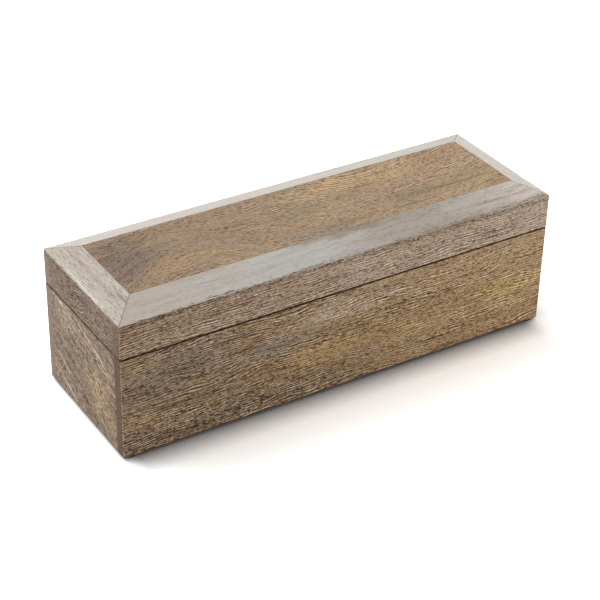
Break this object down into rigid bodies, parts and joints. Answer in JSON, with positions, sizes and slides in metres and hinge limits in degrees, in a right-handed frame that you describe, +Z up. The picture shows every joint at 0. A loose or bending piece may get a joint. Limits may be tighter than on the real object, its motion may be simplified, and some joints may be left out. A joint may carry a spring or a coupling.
{
  "type": "keepsake box",
  "caption": "Long wooden keepsake box with a deep hinged lid, its top a brown centre panel inside whitewashed bevelled mouldings.",
  "frame": {"origin": "on the surface the box stands on, at the middle of its outline seen from above, hinge knuckles included", "axes": "+X along the box towards its right end, -Y towards its front, +Z up; the hinges are on the +Y side"},
  "size_m": [0.32, 0.1064, 0.1051],
  "materials": {
    "stained_wood": "matt wax over a thin brown stain",
    "panel_wood": "matt wax over a thin brown stain",
    "whitewashed_wood": "whitewash rubbed into the grain, matt",
    "inner_wood": "sanded, unsealed",
    "brass_fittings": "dull, unlacquered",
    "rubber_pads": "matt black"
  },
  "bodies": {
    "box": {"front_board": "stained_wood", "rear_board": "stained_wood", "left_end_board": "stained_wood", "right_end_board": "stained_wood", "bottom_panel": "inner_wood", "pad_front_left": "rubber_pads", "pad_front_right": "rubber_pads", "pad_rear_left": "rubber_pads", "pad_rear_right": "rubber_pads", "left_hinge_body_leaf": "brass_fittings", "right_hinge_body_leaf": "brass_fittings", "left_hinge_pin": "brass_fittings", "right_hinge_pin": "brass_fittings", "body_hinge_screws": "brass_fittings"},
    "lid": {"lid_front_rail": "stained_wood", "lid_rear_rail": "stained_wood", "lid_left_rail": "stained_wood", "lid_right_rail": "stained_wood", "lid_front_moulding": "whitewashed_wood", "lid_rear_moulding": "whitewashed_wood", "lid_left_moulding": "whitewashed_wood", "lid_right_moulding": "whitewashed_wood", "lid_centre_panel": "panel_wood", "left_hinge_lid_leaf": "brass_fittings", "right_hinge_lid_leaf": "brass_fittings", "lid_hinge_screws": "brass_fittings"}
  },
  "joints": [
    {"name": "lid_hinge", "type": "hinge", "parent": "box", "child": "lid", "pos_m": [0, 0.05122, 0.074], "axis": [-1, 0, 0], "range_deg": [0, 180]}
  ]
}
